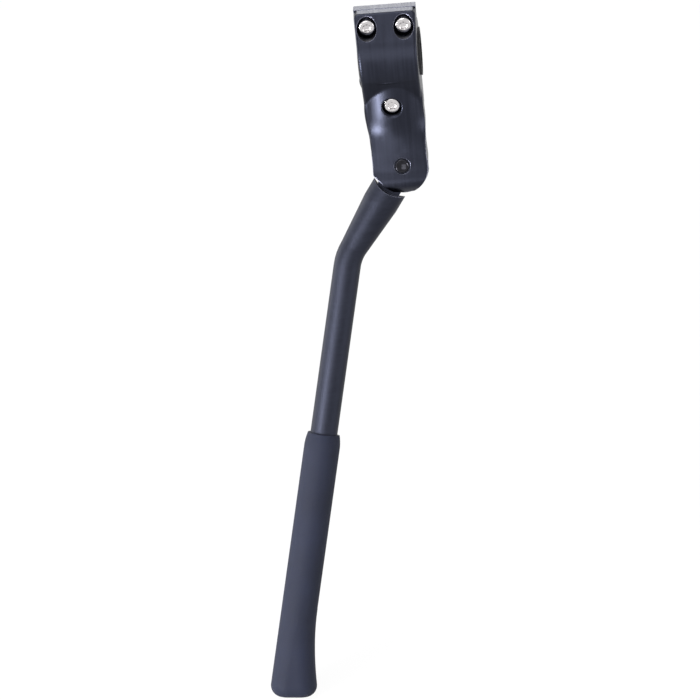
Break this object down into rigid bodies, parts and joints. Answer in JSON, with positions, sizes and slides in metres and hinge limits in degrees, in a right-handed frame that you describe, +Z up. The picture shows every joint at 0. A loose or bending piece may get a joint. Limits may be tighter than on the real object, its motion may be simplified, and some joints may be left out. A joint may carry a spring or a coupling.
{
  "type": "bicycle kickstand",
  "caption": "Rear kickstand that clamps round a bicycle's chainstay, with a spring detent hinge, a bent folding leg and a long adjustable foot sleeve.",
  "frame": {"origin": "centre of the clamped chainstay, halfway along the clamp", "axes": "+X along the chainstay towards the rear wheel, -Y outward from the bicycle, +Z up"},
  "size_m": [0.1097, 0.1511, 0.3572],
  "materials": {
    "clamp_paint": "satin anodised, dark blue-grey",
    "liner_rubber": "matte",
    "screw_steel": "polished stainless",
    "pin_black": "gloss black",
    "hidden_steel": "spring steel",
    "bush_bronze": "plain",
    "leg_paint": "satin anodised, dark blue-grey",
    "foot_plastic": "fine grained, dark grey",
    "screw_black": "black oxide"
  },
  "bodies": {
    "root": {"bracket": "clamp_paint", "clamp_jaw": "clamp_paint", "bracket_liner": "liner_rubber", "jaw_liner": "liner_rubber", "upper_clamp_screws": "screw_steel", "lower_clamp_screw": "screw_steel", "pivot_pin": "pin_black", "pin_retaining_ring": "hidden_steel", "detent_spring": "hidden_steel"},
    "plunger": {"detent_plunger": "hidden_steel"},
    "leg": {"leg": "leg_paint", "pivot_bush": "bush_bronze"},
    "foot": {"foot_sleeve": "foot_plastic", "foot_lock_insert": "bush_bronze", "foot_lock_screw": "screw_black"}
  },
  "joints": [
    {"name": "leg_fold", "type": "hinge", "parent": "root", "child": "leg", "pos_m": [0.0029, -0.0166, -0.0602], "axis": [0, -0.9272, 0.3746], "range_deg": [0, 104]},
    {"name": "plunger_slide", "type": "slide", "parent": "root", "child": "plunger", "axis": [0, -0.3746, -0.9272], "range_m": [0, 0.0012], "stiffness_N_per_m": 2000, "deforming": ["detent_spring"]},
    {"name": "foot_length", "type": "slide", "parent": "leg", "child": "foot", "axis": [-0.213, -0.366, -0.9059], "range_m": [-0.02, 0.035]}
  ]
}
